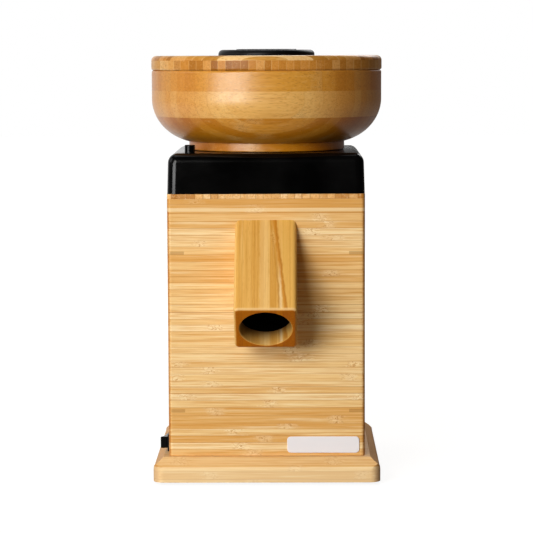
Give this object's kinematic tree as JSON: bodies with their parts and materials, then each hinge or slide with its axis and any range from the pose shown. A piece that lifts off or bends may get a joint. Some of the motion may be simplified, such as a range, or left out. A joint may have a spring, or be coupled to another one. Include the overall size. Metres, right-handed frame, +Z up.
{
  "type": "electric grain mill",
  "caption": "Electric stone grain mill: square bamboo body on a bevelled base, black top housing, turning round bamboo hopper with lid, and a square flour spout sloping down at the front.",
  "frame": {"origin": "on the axis of the stones, at the level that the feet stand on", "axes": "+Z up, -Y to the front where the spout points, +X to the right seen from the front"},
  "size_m": [0.2026, 0.2527, 0.3707],
  "materials": {
    "bamboo": "satin lacquer over laminated bamboo strips",
    "bamboo_inner": "bare planed bamboo",
    "abs_gloss": "glossy moulded ABS",
    "abs_satin": "satin moulded ABS",
    "zinc": "zinc-plated steel",
    "steel": "ground steel",
    "alloy": "die-cast aluminium",
    "stone": "corundum in a ceramic bond",
    "copper": "enamelled copper wire",
    "rubber": "moulded rubber",
    "felt": "wool felt",
    "cap_can": "drawn aluminium can",
    "contact": "brass",
    "polyamide": "natural polyamide",
    "pvc": "extruded PVC insulation"
  },
  "bodies": {
    "root": {"top_housing": "abs_gloss", "housing_screws": "zinc", "release_spring": "steel", "milling_chamber": "alloy", "chamber_screws": "zinc", "chamber_seal": "felt", "shaft_seal": "felt", "stone_guide_pins": "steel", "stone_springs": "steel", "flour_chute": "abs_gloss", "spout_block": "bamboo", "spout_dowels": "bamboo_inner", "motor_top_shield": "alloy", "motor_bottom_shield": "alloy", "stator_core": "steel", "stator_windings": "copper", "bearing_outer_races": "steel", "motor_through_bolts": "zinc", "motor_mount_bolts": "zinc", "motor_isolators": "rubber", "run_capacitor": "cap_can", "capacitor_clip": "zinc", "thermal_cutout": "abs_satin", "terminal_block": "polyamide", "wiring_leads": "pvc", "cord_gland": "abs_satin", "switch_housing": "abs_satin", "switch_terminals": "contact", "front_panel": "bamboo", "back_panel": "bamboo", "left_panel": "bamboo", "right_panel": "bamboo", "corner_battens": "bamboo_inner", "top_board": "bamboo", "base_plinth": "bamboo", "bottom_plate": "abs_satin", "bottom_plate_screws": "zinc", "rubber_feet": "rubber", "foot_screws": "zinc"},
    "hopper": {"hopper_bowl": "bamboo", "hopper_throat": "abs_satin", "hopper_thread_ring": "abs_satin", "hopper_ring_screws": "zinc"},
    "lid": {"lid_board": "bamboo", "lid_knob": "abs_satin", "lid_knob_plate": "abs_gloss", "lid_knob_screws": "zinc"},
    "upper_stone_set": {"upper_stone": "stone", "upper_stone_carrier": "alloy"},
    "rotor": {"lower_stone": "stone", "lower_stone_carrier": "alloy", "stone_nut": "zinc", "rotor_core": "steel", "motor_shaft": "steel", "bearing_inner_races": "steel", "bearing_balls": "steel", "cooling_fan": "abs_satin"},
    "rocker": {"switch_rocker": "abs_gloss"},
    "button": {"release_button": "abs_satin"}
  },
  "joints": [
    {"name": "hopper_turn", "type": "hinge", "parent": "root", "child": "hopper", "pos_m": [0, 0, 0.283], "axis": [0, 0, 1], "range_deg": [-60, 180]},
    {"name": "stone_rise", "type": "slide", "parent": "root", "child": "upper_stone_set", "axis": [0, 0, 1], "range_m": [-0.0007, 0.0021], "deforming": ["stone_springs"]},
    {"name": "lid_lift", "type": "slide", "parent": "hopper", "child": "lid", "axis": [0, 0, 1], "range_m": [0, 0.08]},
    {"name": "rotor_spin", "type": "hinge", "parent": "root", "child": "rotor", "pos_m": [0, 0, 0.13], "axis": [0, 0, 1], "continuous": true},
    {"name": "switch_rock", "type": "hinge", "parent": "root", "child": "rocker", "pos_m": [-0.085, -0.0595, 0.0322], "axis": [0, 0, 1], "range_deg": [0, 30]},
    {"name": "button_press", "type": "slide", "parent": "root", "child": "button", "axis": [0, 0, -1], "range_m": [0, 0.004], "stiffness_N_per_m": 600, "springref_m": -0.004, "deforming": ["release_spring"]}
  ],
  "couplings": [
    {"joint": "stone_rise", "follows": "hopper_turn", "m_per_rad": 0.00063662}
  ]
}
